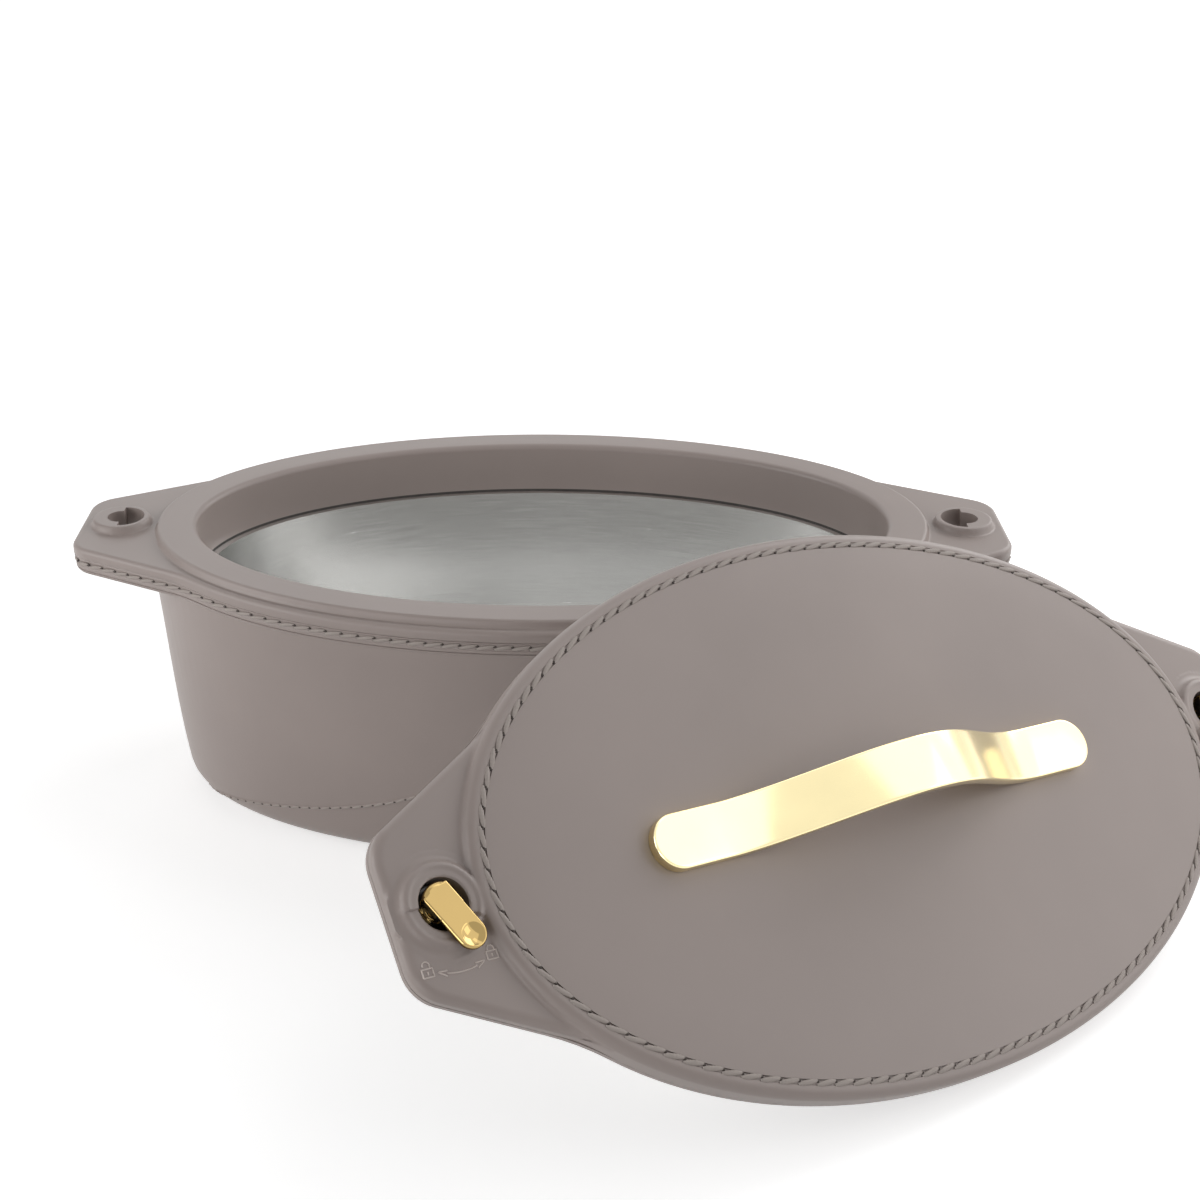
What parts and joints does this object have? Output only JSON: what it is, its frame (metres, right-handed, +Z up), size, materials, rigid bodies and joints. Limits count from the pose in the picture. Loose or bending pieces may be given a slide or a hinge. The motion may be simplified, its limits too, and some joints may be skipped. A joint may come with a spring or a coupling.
{
  "type": "insulated casserole",
  "caption": "Oval insulated casserole with eared rim, steel inner bowl and a lift-off stitched-edge lid with arched strap handle and turning lever locks",
  "frame": {"origin": "centre of the casserole's base on the table, the centre of the base ring's resting face", "axes": "+X is the casserole's long axis through both ears, -Y is the side facing the camera, where the lid leans, +Z is up"},
  "size_m": [0.4347, 0.3366, 0.1309],
  "materials": {
    "taupe_shell": "satin",
    "taupe_collar": "satin",
    "taupe_lid": "satin",
    "steel": "satin",
    "soft_grey": "matte",
    "foam": "matte",
    "gold_handle": "gloss",
    "gold_lever": "gloss",
    "dark_plastic": "matte"
  },
  "bodies": {
    "pot": {"outer_shell": "taupe_shell", "rim_collar": "taupe_collar", "inner_bowl": "steel", "bowl_gasket": "soft_grey", "body_insulation": "foam", "fill_plug": "taupe_shell", "base_ring": "soft_grey", "ear_screws": "steel"},
    "lid": {"lid_cover": "taupe_lid", "lid_underside": "taupe_lid", "lid_liner": "steel", "lid_insulation": "foam", "lid_seal": "soft_grey", "lid_handle": "gold_handle", "handle_screws": "steel", "handle_washers": "steel"},
    "left_lock": {"left_lever": "gold_lever", "left_tongue": "dark_plastic", "left_lock_screw": "steel", "left_wave_ring": "steel"},
    "right_lock": {"right_lever": "gold_lever", "right_tongue": "dark_plastic", "right_lock_screw": "steel", "right_wave_ring": "steel"}
  },
  "joints": [
    {"name": "lid_lift", "type": "slide", "parent": "pot", "child": "lid", "axis": [0.4203, -0.5322, 0.7349], "range_m": [0, 0.2]},
    {"name": "left_lock_turn", "type": "hinge", "parent": "lid", "child": "left_lock", "pos_m": [-0.02831, -0.22084, 0.08092], "axis": [-0.4203, 0.5322, -0.7349], "range_deg": [0, 60]},
    {"name": "right_lock_turn", "type": "hinge", "parent": "lid", "child": "right_lock", "pos_m": [0.24007, -0.05245, 0.04938], "axis": [0.4203, -0.5322, 0.7349], "range_deg": [0, 60]}
  ]
}
